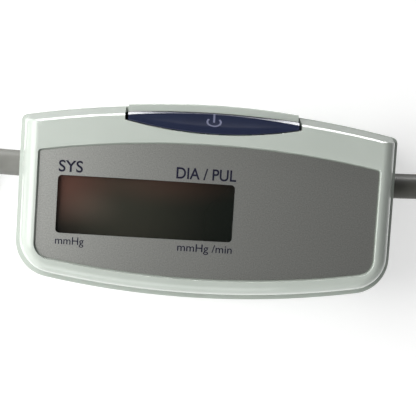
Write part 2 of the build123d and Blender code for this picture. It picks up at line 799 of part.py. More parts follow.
def cross_recess(x, y, z, size):
    """Cross slot in a screw head that faces down."""
    arms = Box(size, size / 4, 2 * slot_depth) + Box(size / 4, size, 2 * slot_depth)
    return Pos(x, y, z) * arms


def case_screw(x, y):
    head_z = screw_seat_z - screw_head_height
    screw = rod(x, y, screw_seat_z, screw_tip_z, screw_radius)
    screw += rod(x, y, head_z, screw_seat_z, screw_head_radius)
    return screw - cross_recess(x, y, head_z, 1.3 * screw_head_radius)


def board_screw(x, y):
    head_z = board_z - board_screw_head_height
    screw = rod(x, y, head_z, board_z, board_screw_head)
    screw += rod(x, y, board_z, board_z + board_screw_length, board_screw_radius)
    return screw - cross_recess(x, y, head_z - slot_depth / 3, 1.2 * board_screw_head)


def racetrack(half_width, near, far, z):
    """Slot-shaped face round the hank's middle line."""
    length = far - near
    with BuildSketch(Plane.XY.offset(z)) as sketch:
        with Locations((-(near + far) / 2, 0)):
            RectangleRounded(length, 2 * half_width, half_width - press)
    return sketch.sketch


def left_hank():
    """Outer shape of the folded hose: one turn on the table and most of one on top."""
    half = hose_diameter / 2
    z = hank_lift
    outside = racetrack(fold_half_width + half, hank_near - half, hank_far + half, z)
    inside = racetrack(fold_half_width - half, hank_near + half, hank_far - half, z)
    turn = extrude(outside, amount=hose_diameter) - extrude(inside, amount=hose_diameter)
    upper = Pos(0, 0, hose_diameter) * turn
    upper &= (block(-beyond, hank_climb_x, 0, beyond, 0, beyond)
              + block(-beyond, left_plug_x, -beyond, past, 0, beyond))
    return (turn + upper).solid()


def left_tie():
    """Band round the two layers of one long run."""
    y = -fold_half_width + tie_inset
    height = 2 * hose_diameter + hank_lift
    z = hank_lift + hose_diameter
    band = Pos(tie_x, y, z) * Box(tie_width, hose_diameter + 2 * hank_lift, height + hank_lift)
    band = fillet(band.edges().filter_by(Axis.X), tie_edge)
    return band - Pos(tie_x, y, z) * Box(tie_width + past, hose_diameter, height - hank_lift)


os.makedirs("parts", exist_ok=True)

save("front_shell", front_shell())
save("rear_shell", rear_shell())
save("battery_door", battery_door())
save("face_panel", face_panel())
save("display_window", slab(window_width, window_height, window_corner, window_x, window_y,
                            window_seat_z, window_seat_z + window_thick))
save("start_button", start_button())
save("button_dome", button_dome())

# Display and board
save("circuit_board", circuit_board())
save("lcd_holder", lcd_holder())
save("lcd_glass", slab(glass_width, glass_height, 0.4, window_x, window_y, glass_z, glass_top_z))
save("lcd_gasket", lcd_gasket())
zebra_half = glass_width / 2 - holder_rest - zebra_fit
save("zebra_strip", block(window_x - zebra_half, window_x + zebra_half,
                          zebra_y - zebra_width / 2, zebra_y + zebra_width / 2,
                          board_top_z, glass_z))
save("processor_chip", Pos(window_x, window_y, board_top_z + chip_thick / 2)
     * Box(chip_size, chip_size, chip_thick))
save("board_parts", group(board_parts()))
buzzer_x = bay_half_length + bay_wall + buzzer_gap + buzzer_radius
save("buzzer", rod(buzzer_x, window_y, board_z - buzzer_thick, board_z, buzzer_radius)
     - rod(buzzer_x, window_y, 0, board_z - 0.8 * buzzer_thick, buzzer_hole))

# Air path
save("left_port", port(-1))
save("right_port", port(1))
save("air_manifold", air_manifold())
for side, name in ((-1, "left_inner_tube"), (1, "right_inner_tube")):
    save(name, inner_tube(side))
save("pressure_sensor", pressure_sensor())
save("sensor_tube", rod_y(0, port_y + manifold_radius + 2 * tube_end_gap,
                          sensor_y - tube_end_gap, port_z, sensor_tube_radius)
     - rod_y(0, 0, beyond, port_z, sensor_nozzle_radius + press))
save("bleed_valve", bleed_valve())

# Batteries
for name, y, turned in (("battery_1", cell_rows[0], 1), ("battery_2", cell_rows[1], -1)):
    save(name, battery(y, turned))
save("battery_springs", group([battery_spring(cell_rows[0], -1), battery_spring(cell_rows[1], 1)]))
save("battery_contacts", group(contact_plates()))

# Fasteners and feet
save("case_screws", group([case_screw(x, y) for x, y in case_screw_spots]))
save("board_screws", group([board_screw(x, y) for x, y in board_screw_spots]))
save("rubber_feet", group([rod(sx * foot_x, sy * foot_y, 0, back_z + foot_recess, foot_radius)
                           for sx in (-1, 1) for sy in (-1, 1)]))

# Hoses as they lie: straight out of the ports, down to the table and folded up
left_route = [(-port_face_x, port_y, port_z), (-87, 9.8, 15.2), (-109, 11.6, 11.4),
              (-131, 14.8, 5.8), (-152, 20.0, 5.3), (-170, 25.8, 5.3)]
right_route = [(port_face_x, port_y, port_z), (87, 9.8, 14.4), (109, 13.4, 8.2),
               (131, 20.4, 4.5), (153, 27.6, 4.5), (175, 30.2, 4.5), (197.4, 29.9, 4.5),
               (214.8, 12.5, 4.5), (214.8, -12.3, 4.5), (197.3, -30.0, 4.5),
               (174, -30.1, 4.5), (150, -29.1, 4.7), (127, -29.6, 5.1)]
save("left_hose", hose_tube(left_route))
save("left_hank", left_hank())
save("left_connector", connector(left_plug_x, -fold_half_width, left_plug_z, 1))
save("left_tie", left_tie())
save("right_hose", hose_tube(right_route))
save("right_connector", connector(*right_route[-1], -1))
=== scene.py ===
import json
import math
import bmesh
import bpy
import numpy as np
from mathutils import Euler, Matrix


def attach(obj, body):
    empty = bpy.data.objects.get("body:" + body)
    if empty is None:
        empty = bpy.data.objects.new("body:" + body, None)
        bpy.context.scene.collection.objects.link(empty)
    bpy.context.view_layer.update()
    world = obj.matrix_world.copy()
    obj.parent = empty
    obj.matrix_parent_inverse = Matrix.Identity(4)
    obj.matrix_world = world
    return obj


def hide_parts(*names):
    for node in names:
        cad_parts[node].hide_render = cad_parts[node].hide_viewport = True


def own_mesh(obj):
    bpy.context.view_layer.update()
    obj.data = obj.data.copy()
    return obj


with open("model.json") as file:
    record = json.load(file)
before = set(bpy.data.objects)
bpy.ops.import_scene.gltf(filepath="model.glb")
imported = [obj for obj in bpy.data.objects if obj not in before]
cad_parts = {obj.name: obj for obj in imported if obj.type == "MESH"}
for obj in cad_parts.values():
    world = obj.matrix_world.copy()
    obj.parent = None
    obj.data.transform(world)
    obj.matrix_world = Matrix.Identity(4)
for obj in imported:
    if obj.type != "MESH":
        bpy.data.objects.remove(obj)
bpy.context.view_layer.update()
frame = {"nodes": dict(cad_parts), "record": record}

mm = 0.001  # sizes are in millimetres, unless a note says metres
print("frame loaded")


# Shader nodes

# Adds a node. A socket's name sets that socket's value, and any other name sets a property.
def node(tree, kind, **values):
    made = tree.nodes.new(kind)
    for key, value in values.items():
        if key in made.inputs:
            made.inputs[key].default_value = value
        else:
            setattr(made, key, value)
    return made


# Sets the stops of a colour ramp from pairs of a position and a colour.
def setStops(ramp, stops):
    for position, colour in stops[1:-1]:
        ramp.color_ramp.elements.new(position)
    for element, (position, colour) in zip(ramp.color_ramp.elements, stops):
        element.position = position
        element.color = (*colour, 1)


# One step of arithmetic on numbers and on the outputs of other nodes.
def calculate(tree, operation, *values):
    made = node(tree, "ShaderNodeMath", operation=operation)
    for socket, value in zip(made.inputs, values):
        if isinstance(value, float):
            socket.default_value = value
        else:
            tree.links.new(value, socket)
    return made.outputs["Value"]


# Camera and light
camera = dict(place=(-22.78, 21.76, 370.73), turn=(-4.1196, -3.5342, 3.6608), lens=86.54,
              sensor=36.0, clipStart=0.01)
lamps = dict(
    # the main light and a smaller one over it, both from the left
    key=dict(place=(-420, 120, 330), size=(560, 420), power=3.6, colour=(1.0, 1.0, 0.99)),
    sheen=dict(place=(-330, 20, 560), size=(360, 420), power=0.8),
    # reflections only, on the top edge and in the button's hollow
    strip=dict(place=(0, 620, 65), size=(1300, 130), power=12.0, diffuse=False),
    hollow=dict(place=(150, 400, 475), size=(620, 160), power=0.26, diffuse=False),
    # from the front, the second one as matt light only
    front=dict(place=(-60, -560, 260), size=(420, 420), power=1.1),
    apron=dict(place=(60, -620, 75), size=(900, 110), power=1.0, glossy=False))
surroundings = dict(
    # strength at each height, from -1 straight down to 1 straight up
    levels=[(-1.0, 0.4), (-0.86, 1.2), (-0.62, 1.0), (-0.3, 0.5), (0.0, 0.4), (0.25, 0.3),
            (0.6, 0.1), (1.0, 0.05)],
    tilt=0.6, left=2.2, right=0.6)


# A camera whose place is in millimetres and whose turn is in degrees.
def makeCamera():
    data = bpy.data.cameras.new("camera")
    data.lens = camera["lens"]
    data.sensor_width = camera["sensor"]
    data.clip_start = camera["clipStart"]
    seen = bpy.data.objects.new("camera", data)
    seen.location = [v * mm for v in camera["place"]]
    seen.rotation_euler = Euler([math.radians(v) for v in camera["turn"]], "XYZ")
    bpy.context.scene.collection.objects.link(seen)
    bpy.context.scene.camera = seen


# Flat rectangular lamps, each turned to face the origin.
def makeLamps():
    for name, facts in lamps.items():
        data = bpy.data.lights.new(name, "AREA")
        data.shape = "RECTANGLE"
        data.size, data.size_y = [v * mm for v in facts["size"]]
        data.energy = facts["power"]
        data.color = facts.get("colour", (1.0, 1.0, 1.0))
        lamp = bpy.data.objects.new(name, data)
        lamp.location = [v * mm for v in facts["place"]]
        lamp.rotation_euler = lamp.location.to_track_quat("Z", "Y").to_euler()
        lamp.visible_diffuse = facts.get("diffuse", True)
        lamp.visible_glossy = facts.get("glossy", True)
        bpy.context.scene.collection.objects.link(lamp)


# White surroundings, whose strength is the level at the height, times a factor that falls from
# the left to the right. Under the horizon the height is z + tilt * z * y.
def makeSurroundings():
    s = surroundings
    world = bpy.data.worlds.new("studio")
    world.use_nodes = True
    tree = world.node_tree
    direction = node(tree, "ShaderNodeTexCoord")
    split = node(tree, "ShaderNodeSeparateXYZ")
    tree.links.new(direction.outputs["Generated"], split.inputs["Vector"])
    x, y, z = split.outputs
    under = calculate(tree, "MULTIPLY", calculate(tree, "MINIMUM", z, 0.0), y)
    height = calculate(tree, "MULTIPLY_ADD", under, s["tilt"], z)
    ramp = node(tree, "ShaderNodeValToRGB")
    setStops(ramp, [((at + 1) / 2, (level,) * 3) for at, level in s["levels"]])
    tree.links.new(calculate(tree, "MULTIPLY_ADD", height, 0.5, 0.5), ramp.inputs["Fac"])
    side = node(tree, "ShaderNodeMapRange",
                **{"From Min": -1, "To Min": s["left"], "To Max": s["right"]})
    tree.links.new(x, side.inputs["Value"])
    background = tree.nodes["Background"]
    tree.links.new(ramp.outputs["Color"], background.inputs["Color"])
    tree.links.new(side.outputs["Result"], background.inputs["Strength"])
    bpy.context.scene.world = world
    bpy.context.scene.view_settings.view_transform = "Standard"  # colours as they are


makeCamera()
makeLamps()
makeSurroundings()
print("camera and lights made")


# Meshes
merging = dict(points=2e-6, edges=1e-6)  # metres


# Merges doubles, turns the faces outwards and marks the edges that bend more than sharpAngle.
def finishMesh(name, mesh, smooth=True, sharpAngle=32.0):
    work = bmesh.new()
    work.from_mesh(mesh)
    bmesh.ops.remove_doubles(work, verts=work.verts, dist=merging["points"])
    bmesh.ops.dissolve_degenerate(work, edges=work.edges, dist=merging["edges"])
    bmesh.ops.recalc_face_normals(work, faces=work.faces)
    work.to_mesh(mesh)
    work.free()
    if smooth:
        mesh.shade_smooth()
        mesh.set_sharp_from_angle(angle=math.radians(sharpAngle))
    piece = bpy.data.objects.new(name, mesh)
    bpy.context.scene.collection.objects.link(piece)
    return piece


# A piece from points in millimetres.
def meshPiece(name, points, faces, sharpAngle=32.0):
    mesh = bpy.data.meshes.new(name)
    mesh.from_pydata((points * mm).tolist(), [], faces)
    return finishMesh(name, mesh, sharpAngle=sharpAngle)


# Quads of a grid whose rows are closed rings: each point and its neighbours to the right and
# below. With closeRows the last ring is joined to the first.
def gridFaces(rows, columns, closeRows):
    down = np.arange(rows if closeRows else rows - 1)
    r, c = np.meshgrid(down, np.arange(columns), indexing="ij")
    nextRow = (r + 1) % rows
    nextColumn = (c + 1) % columns
    corners = [r * columns + c, r * columns + nextColumn,
               nextRow * columns + nextColumn, nextRow * columns + c]
    return np.stack([k.ravel() for k in corners], axis=1).tolist()


# A surface through a stack of rings.
def gridPiece(name, grid, closeRows=True, sharpAngle=32.0):
    rows, columns = grid.shape[:2]
    faces = gridFaces(rows, columns, closeRows)
    return meshPiece(name, grid.reshape(-1, 3), faces, sharpAngle)


# The two faces that fill the first and the last of a stack of rings.
def capFaces(rows, columns):
    return [list(range(columns)), list(range((rows - 1) * columns, rows * columns))]


# A surface through a stack of rings, closed at both ends.
def cappedPiece(name, grid, sharpAngle=32.0):
    rows, columns = grid.shape[:2]
    faces = gridFaces(rows, columns, False) + capFaces(rows, columns)
    return meshPiece(name, grid.reshape(-1, 3), faces, sharpAngle)


# Materials

# A new material, with its nodes and its shader.
def newMaterial(name):
    made = bpy.data.materials.new(name)
    made.use_nodes = True
    return made, made.node_tree, made.node_tree.nodes["Principled BSDF"]


# Noise on the object's own coordinates, in waves per metre.
def noiseOf(tree, scale, detail=3.0):
    spot = node(tree, "ShaderNodeTexCoord")
    noise = node(tree, "ShaderNodeTexNoise", Scale=scale, Detail=detail)
    tree.links.new(spot.outputs["Object"], noise.inputs["Vector"])
    return noise


# The base colour drifts from low to high over the middle of the noise's range.
def blendColours(tree, shader, noise, low, high):
    ramp = node(tree, "ShaderNodeValToRGB")
    setStops(ramp, [(0.35, low), (0.65, high)])
    tree.links.new(noise.outputs["Fac"], ramp.inputs["Fac"])
    tree.links.new(ramp.outputs["Color"], shader.inputs["Base Color"])


# The roughness goes from low to high with the noise.
def varyRoughness(tree, shader, noise, low, high):
    reach = node(tree, "ShaderNodeMapRange", **{"To Min": low, "To Max": high})
    tree.links.new(noise.outputs["Fac"], reach.inputs["Value"])
    tree.links.new(reach.outputs["Result"], shader.inputs["Roughness"])


# Bumps as high as the noise times the height, in metres.
def bump(tree, shader, noise, height, strength):
    made = node(tree, "ShaderNodeBump", Strength=strength, Distance=height)
    tree.links.new(noise.outputs["Fac"], made.inputs["Height"])
    tree.links.new(made.outputs["Normal"], shader.inputs["Normal"])


# A surface whose colour drifts between two close tones, with a fine grain. Grain is its waves
# per metre, its height and its strength, and cloud the colour's waves per metre.
def plastic(name, low, high, roughness=(0.2, 0.3), grain=(1200, 2e-5, 0.2), cloud=60, **sockets):
    made, tree, shader = newMaterial(name)
    blendColours(tree, shader, noiseOf(tree, cloud), low, high)
    waves, height, strength = grain
    fine = noiseOf(tree, waves, 4.0)
    varyRoughness(tree, shader, fine, *roughness)
    bump(tree, shader, fine, height, strength)
    for socket, value in sockets.items():
        shader.inputs[socket.replace("_", " ")].default_value = value
    return made


# A stretch of colour over the object's own coordinates: 0 to 1 along X, or 1 in the middle of a
# round spot and 0 at its edge. Middle and reach are in metres.
def gradientOf(tree, middle, reach, kind="SPHERICAL"):
    spot = node(tree, "ShaderNodeTexCoord")
    turn = node(tree, "ShaderNodeMapping", Scale=[1 / r for r in reach],
                Location=[-m / r for m, r in zip(middle, reach)])
    shade = node(tree, "ShaderNodeTexGradient", gradient_type=kind)
    tree.links.new(spot.outputs["Object"], turn.inputs["Vector"])
    tree.links.new(turn.outputs["Vector"], shade.inputs["Vector"])
    return shade


# Turns a gradient into colours, with soft steps between the stops.
def rampOf(tree, gradient, stops):
    ramp = node(tree, "ShaderNodeValToRGB")
    ramp.color_ramp.interpolation = "EASE"
    setStops(ramp, stops)
    tree.links.new(gradient.outputs["Fac"], ramp.inputs["Fac"])
    return ramp


# The sum of two colours.
def addColours(tree, first, second):
    both = node(tree, "ShaderNodeMixRGB", blend_type="ADD", Fac=1.0)
    tree.links.new(first.outputs["Color"], both.inputs["Color1"])
    tree.links.new(second.outputs["Color"], both.inputs["Color2"])
    return both


# Places and sizes here are in metres, as the object's own coordinates are.
display = dict(
    # across: the dark tint with painted light, brighter left of the middle and falling off to the
    # right
    across=[(0.0, (0.023, 0.020, 0.015)), (0.35, (0.047, 0.046, 0.034)),
            (1.0, (0.008, 0.011, 0.008))],
    left=-0.0518, width=0.0604, roughness=(0.12, 0.17), grain=(1500, 1e-6, 0.05),
    # painted reflections: soft red and brown patches added to the colour
    paintedReflections=[dict(middle=(-0.054, 0.005, 0.0285), reach=(0.026, 0.018, 0.02),
                colour=(0.136, 0.053, 0.039)),
           dict(middle=(-0.018, 0.008, 0.0285), reach=(0.036, 0.012, 0.02),
                colour=(0.045, 0.013, 0.009)),
           dict(middle=(-0.042, -0.004, 0.0285), reach=(0.016, 0.009, 0.02),
                colour=(0.044, 0.035, 0.028))])


# The switched-off display: a dark tint with painted light, brown at the left fading to dark green
# at the right, under painted soft red reflections.
def displayTintAndPaintedLight():
    d = display
    made, tree, shader = newMaterial("displayTintPaintedLight")
    along = gradientOf(tree, (d["left"], 0, 0), (d["width"], 1, 1), "LINEAR")
    shade = rampOf(tree, along, d["across"])
    # each painted reflection is added to the colour
    for glow in d["paintedReflections"]:
        spot = rampOf(tree, gradientOf(tree, glow["middle"], glow["reach"]),
                      [(0.0, (0, 0, 0)), (1.0, glow["colour"])])
        shade = addColours(tree, shade, spot)
    tree.links.new(shade.outputs["Color"], shader.inputs["Base Color"])
    waves, height, strength = d["grain"]
    fine = noiseOf(tree, waves)
    varyRoughness(tree, shader, fine, *d["roughness"])
    bump(tree, shader, fine, height, strength)
    return made


paint = dict(
    # the display's dark tint, with painted light and painted reflections
    displayTintPaintedLight=displayTintAndPaintedLight(),
    caseWhite=plastic("caseWhite", (0.49, 0.535, 0.49), (0.52, 0.565, 0.52), (0.10, 0.14),
                      (2500, 4e-6, 0.15), 35),
    panelSilver=plastic("panelSilver", (0.35, 0.355, 0.335), (0.47, 0.475, 0.45), (0.32, 0.42),
                        (3000, 8e-6, 0.25), 2600, Metallic=0.85),
    buttonBlue=plastic("buttonBlue", (0.015, 0.020, 0.047), (0.018, 0.024, 0.055), (0.16, 0.22),
                       (2500, 2e-6, 0.1), 80),
    symbolBlue=plastic("symbolBlue", (0.15, 0.16, 0.25), (0.18, 0.19, 0.29), (0.35, 0.45)),
    windowClear=plastic("windowClear", (0.010, 0.011, 0.010), (0.014, 0.015, 0.014),
                        (0.03, 0.06), (900, 1e-6, 0.05), 20, Alpha=0.12, IOR=1.6),
    ink=plastic("ink", (0.004, 0.004, 0.020), (0.006, 0.006, 0.026), (0.5, 0.6),
                Specular_IOR_Level=0.25),
    hoseLight=plastic("hoseLight", (0.18, 0.18, 0.165), (0.21, 0.21, 0.195), (0.42, 0.55),
                      (1500, 1e-5, 0.3), 120, Specular_IOR_Level=0.25),
    hoseDark=plastic("hoseDark", (0.085, 0.085, 0.075), (0.105, 0.105, 0.093), (0.38, 0.5),
                     (1500, 1e-5, 0.3), 120, Specular_IOR_Level=0.25),
    greyPlastic=plastic("greyPlastic", (0.40, 0.41, 0.41), (0.45, 0.46, 0.46), (0.35, 0.5)),
    blackPlastic=plastic("blackPlastic", (0.022, 0.022, 0.022), (0.032, 0.032, 0.032),
                         (0.4, 0.55)),
    footRubber=plastic("footRubber", (0.20, 0.20, 0.20), (0.26, 0.26, 0.26), (0.7, 0.85),
                       (1800, 3e-5, 0.5)),
    foam=plastic("foam", (0.02, 0.02, 0.02), (0.05, 0.05, 0.05), (0.85, 0.95),
                 (2500, 2e-4, 0.8), 2500),
    silicone=plastic("silicone", (0.60, 0.60, 0.57), (0.66, 0.66, 0.63), (0.4, 0.5),
                     Subsurface_Weight=0.2),
    boardGreen=plastic("boardGreen", (0.015, 0.13, 0.045), (0.02, 0.17, 0.06), (0.3, 0.4)),
    componentMetal=plastic("componentMetal", (0.55, 0.55, 0.56), (0.66, 0.66, 0.67),
                           (0.25, 0.4), Metallic=1.0),
    brass=plastic("brass", (0.60, 0.42, 0.16), (0.70, 0.52, 0.22), (0.25, 0.4), Metallic=1.0),
    cellJacket=plastic("cellJacket", (0.10, 0.11, 0.13), (0.13, 0.14, 0.16), (0.25, 0.35)),
    springSteel=plastic("springSteel", (0.60, 0.60, 0.60), (0.72, 0.72, 0.72), (0.2, 0.3),
                        Metallic=1.0),
    screwSteel=plastic("screwSteel", (0.42, 0.42, 0.43), (0.54, 0.54, 0.55), (0.3, 0.45),
                       Metallic=1.0),
    tieBlack=plastic("tieBlack", (0.018, 0.018, 0.02), (0.05, 0.05, 0.055), (0.8, 0.95),
                     (1600, 3e-4, 0.9), 1400))
slotPaint = dict(
    case_white="caseWhite", panel_silver="panelSilver", window_clear="windowClear",
    button_blue="buttonBlue", silicone="silicone", board_green="boardGreen",
    # display_glass gets the display's dark tint with painted light and painted reflections
    black_plastic="blackPlastic", display_glass="displayTintPaintedLight", foam="foam",
    component_metal="componentMetal", grey_plastic="greyPlastic", brass="brass",
    cell_jacket="cellJacket", spring_steel="springSteel", screw_steel="screwSteel",
    foot_rubber="footRubber", hose_light="hoseLight", hose_dark="hoseDark",
    tie_black="tieBlack")


# Each construction piece gets the material of its slot in the record.
def dressNodes():
    for part in frame["record"]["subparts"]:
        shown = frame["nodes"][part["node"]]
        shown.data.materials.clear()
        shown.data.materials.append(paint[slotPaint[part["material_slot"]]])


# Gives a new piece its material and body, and hides the nodes that it stands for.
def place(piece, material, body, replaces=()):
    piece.data.materials.clear()
    piece.data.materials.append(paint[material])
    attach(piece, body)
    if replaces:
        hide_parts(*replaces)


dressNodes()
print("materials made")


# Hoses
hose = dict(diameter=9.0, roundSteps=8, lengthSteps=12)
leftHose = dict(
    # out of the left port
    start=[(-65.9, 9.5, 15.4), (-87, 9.8, 15.2), (-109, 11.6, 11.4), (-131, 14.8, 5.8),
           (-152, 20.0, 5.3), (-172, 27.6, 5.3)],
    # round the fold's far end and into the tie, at both heights
    bend=[(-195.9, 30.0), (-213.5, 12.4), (-213.5, -12.4), (-195.9, -30.0), (-172, -29.2)],
    low=5.3, high=14.3,
    # from the tie round the near end, rising from the first turn onto the second
    climb=[(-150, -30.2, 0), (-126, -29.7, 0), (-102.1, -30.0, 0), (-84.5, -12.4, 0),
           (-84.5, 12.4, 0), (-102.1, 30.0, 0.4), (-125, 29.8, 3.2), (-149, 30.3, 7.2),
           (-172, 29.6, 9.0)],
    plug=(-150, -30.0, 14.9))
rightHose = dict(
    # out of the right port, round one bend and back to the plug
    route=[(65.9, 9.5, 15.4), (87, 9.8, 14.4), (109, 13.4, 8.2), (131, 20.4, 4.5),
           (153, 27.6, 4.5), (175, 30.2, 4.5), (197.4, 29.9, 4.5), (214.8, 12.5, 4.5),
           (214.8, -12.3, 4.5), (197.3, -30.0, 4.5), (174, -30.1, 4.5), (150, -29.1, 4.7),
           (127, -29.6, 5.1)])


# Out of the port, then twice round the fold, the second turn on top of the first.
def leftRoute():
    h = leftHose
    first, second = [[(x, y, height) for x, y in h["bend"]] for height in (h["low"], h["high"])]
    climb = [(x, y, h["low"] + rise) for x, y, rise in h["climb"]]
    return h["start"] + first + climb + second + [h["plug"]]


# A round tube along a spline of parabolas that has the route's points as its controls.
def hoseCurve(name, route):
    data = bpy.data.curves.new(name, "CURVE")
    data.dimensions = "3D"
    data.bevel_depth = hose["diameter"] / 2 * mm
    data.bevel_resolution = hose["roundSteps"]
    data.resolution_u = hose["lengthSteps"]
    data.use_fill_caps = True
    spline = data.splines.new("NURBS")
    spline.points.add(len(route) - 1)
    for point, where in zip(spline.points, route):
        point.co = (*[v * mm for v in where], 1)
    spline.order_u = 3
    spline.use_endpoint_u = True
    piece = bpy.data.objects.new(name, data)
    bpy.context.scene.collection.objects.link(piece)
    return piece


leftTube = hoseCurve("left_hose_tube", leftRoute())
rightTube = hoseCurve("right_hose_tube", rightHose["route"])
place(leftTube, "hoseLight", "case", ("left_hose", "left_hank"))
place(rightTube, "hoseDark", "case", ("right_hose",))
print("hoses laid")


# Outline
outline = dict(topBow=332.0, bottomBow=322.0, topCount=44, notchCount=60, cornerCount=12,
               sideCount=14, bottomCount=90)
notch = dict(halfWidth=30.2, low=23.6, bow=139.0, round=0.25)


# How far an arc of radius bow has fallen at x from its highest point.
def sag(bow, x):
    return bow - np.sqrt(bow * bow - x * x)


# A number or a row of numbers as a column, for arrays with one ring in each row.
def column(value):
    return np.atleast_1d(np.asarray(value, float))[:, None]


# Even steps from 0 to 1, as a row.
def steps(count):
    return np.linspace(0, 1, count)[None]


# Level rings, one for each row of sizes, named as the face is read: an arc along the top, straight
# ends, an arc along the bottom, and corners that touch both. Columns run clockwise from the left
# end of the notch, and those at both ends of the notch are doubled.
def caseRing(halfWidth, top, bottom, topCorner, bottomCorner, height, topBow=None,
             bottomBow=None, notchHalf=None, x0=0.0, y0=0.0):
    o = outline
    topBow = topBow or o["topBow"]
    bottomBow = bottomBow or o["bottomBow"]
    notchHalf = notchHalf or notch["halfWidth"]
    halfWidth, top, bottom, topCorner, bottomCorner, height = np.broadcast_arrays(
        *[column(v) for v in (halfWidth, top, bottom, topCorner, bottomCorner, height)])
    # middles of the corners' arcs, and the angles at which they meet the top and the bottom
    topX = halfWidth - topCorner
    topY = top - topBow + np.sqrt((topBow - topCorner) ** 2 - topX ** 2)
    topAngle = np.arctan2(topY - top + topBow, topX)
    lowX = halfWidth - bottomCorner
    lowY = bottom + bottomBow - np.sqrt((bottomBow - bottomCorner) ** 2 - lowX ** 2)
    lowAngle = np.arctan2(lowY - bottom - bottomBow, lowX)
    # the notch, then the right half of the ring down to the bottom's right end
    notchX = notchHalf * (2 * steps(o["notchCount"]) - 1) + 0 * halfWidth
    topEnd = topX + topCorner * np.cos(topAngle)
    rightX = notchHalf + (topEnd - notchHalf) * steps(o["topCount"])
    turn = steps(o["cornerCount"] + 1)[:, 1:]
    angle = topAngle * (1 - turn)
    cornerX = topX + topCorner * np.cos(angle)
    cornerY = topY + topCorner * np.sin(angle)
    side = steps(o["sideCount"] + 1)[:, 1:]
    sideX = halfWidth + 0 * side
    sideY = topY + (lowY - topY) * side
    angle = lowAngle * turn
    lowCornerX = lowX + bottomCorner * np.cos(angle)
    lowCornerY = lowY + bottomCorner * np.sin(angle)
    lowEnd = lowX + bottomCorner * np.cos(lowAngle)
    bottomX = lowEnd * (1 - 2 * steps(o["bottomCount"] + 1)[:, 1:])
    bottomY = bottom + sag(bottomBow, bottomX)
    # the left half mirrors the right
    x = np.concatenate([notchX, rightX, cornerX, sideX, lowCornerX, bottomX,
                        -lowCornerX[:, -2::-1], -sideX[:, ::-1], -cornerX[:, ::-1],
                        -rightX[:, ::-1]], axis=1)
    y = np.concatenate([top - sag(topBow, notchX), top - sag(topBow, rightX), cornerY, sideY,
                        lowCornerY, bottomY, lowCornerY[:, -2::-1], sideY[:, ::-1],
                        cornerY[:, ::-1], top - sag(topBow, rightX[:, ::-1])], axis=1)
    return np.stack([x + x0, y + y0, height + 0 * x], axis=2)


# The notch's curved edge: an arc whose lowest point is in the middle.
def notchEdge(x):
    return notch["low"] + sag(notch["bow"], x)


# A straight slant from 0 to 1 whose beginning is rounded: a hyperbola close to its asymptote.
def slant(share, soft):
    return (np.sqrt(share ** 2 + soft ** 2) - soft) / (math.sqrt(1 + soft ** 2) - soft)


# The columns inside the notch stay behind its curved edge, moved in by inset.
def clampToNotch(rings, inset):
    inside = rings[:, :outline["notchCount"]]
    limit = notchEdge(inside[..., 0]) - inset
    inside[..., 1] = np.minimum(inside[..., 1], limit)
    return rings


# Window and panel
window = dict(width=60.2, height=19.8, x=-21.5, y=-3.0, corner=1.3, bow=4000.0, topShare=0.45,
              thick=1.4, ledge=1.2, surface=29.85, gap=0.1, sink=0.08, edge=0.12, capShare=0.02)
film = dict(thick=0.04, lift=0.02, below=0.1, gap=0.02)
panel = dict(halfWidth=58.15, top=19.9, bottom=-26.02, topCorner=0.9, bottomCorner=5.2,
             surface=30.0, thick=0.4, gap=0.42, edge=0.08)


# The window's rounded rectangle, grown outwards by grow, with a hardly bowed top and bottom.
def windowRing(grow, height):
    w = window
    halfWidth, halfHeight = w["width"] / 2 + grow, w["height"] / 2 + grow
    return caseRing(halfWidth, halfHeight, -halfHeight, w["corner"], w["corner"], height,
                    w["bow"], w["bow"], w["topShare"] * halfWidth, w["x"], w["y"])


# The panel's outline, grown outwards by grow, with the case's bows at the top and the bottom.
def panelRing(grow, height):
    p = panel
    return caseRing(p["halfWidth"] + grow, p["top"] + grow, p["bottom"] - grow,
                    p["topCorner"] + max(grow, 0), p["bottomCorner"] + max(grow, 0), height)


# A thin plate with a bevelled rim and an opening for the window.
def makePanel():
    p = panel
    low, high = p["surface"] - p["thick"], p["surface"]
    opening = window["gap"] / 2
    rings = [windowRing(opening, low), panelRing(0, low), panelRing(0, high - p["edge"]),
             panelRing(-p["edge"], high), windowRing(opening, high)]
    return gridPiece("face_panel_skin", np.concatenate(rings), sharpAngle=20)


# A pane with a bevelled upper edge.
def makeWindow():
    w = window
    low, high = w["surface"] - w["thick"] + w["sink"], w["surface"]
    rings = [windowRing(-w["width"] * w["capShare"], low), windowRing(0, low),
             windowRing(0, high - w["edge"]), windowRing(-w["edge"], high)]
    return cappedPiece("window_pane", np.concatenate(rings), sharpAngle=25)


# A dark film behind the pane, turned up round its edge.
def makeFilm():
    f = film
    low, high = window["surface"] - window["thick"] + f["lift"], window["surface"] - f["below"]
    out, middle = window["gap"] - f["gap"], -window["width"] * window["capShare"]
    rings = [windowRing(middle, low), windowRing(out, low), windowRing(out, high),
             windowRing(out - f["thick"], high), windowRing(out - f["thick"], low + f["thick"]),
             windowRing(middle, low + f["thick"])]
    return cappedPiece("window_film", np.concatenate(rings))


# Front shell
shell = dict(parting=22.0, face=30.8, wall=2.0, halfWidth=64.4, top=32.75, bottom=-32.2,
             topCorner=1.8, bottomCorner=12.5, cornerShrink=1.0, leastCorner=0.6,
             sideRoll=5.45, bottomRoll=4.3, topDraft=2.45, edge=0.55, edgeDrop=0.66,
             edgeRound=0.06, recess=29.6, rim=0.2, platePlane=27.6,
             wallRings=30, faceRings=5, rimRings=4)
lip = dict(depth=1.5, thick=1.1, out=63.5, top=30.75, bottom=-31.7, topCorner=0.6,
           innerCorner=10.0, outerCorner=11.2)


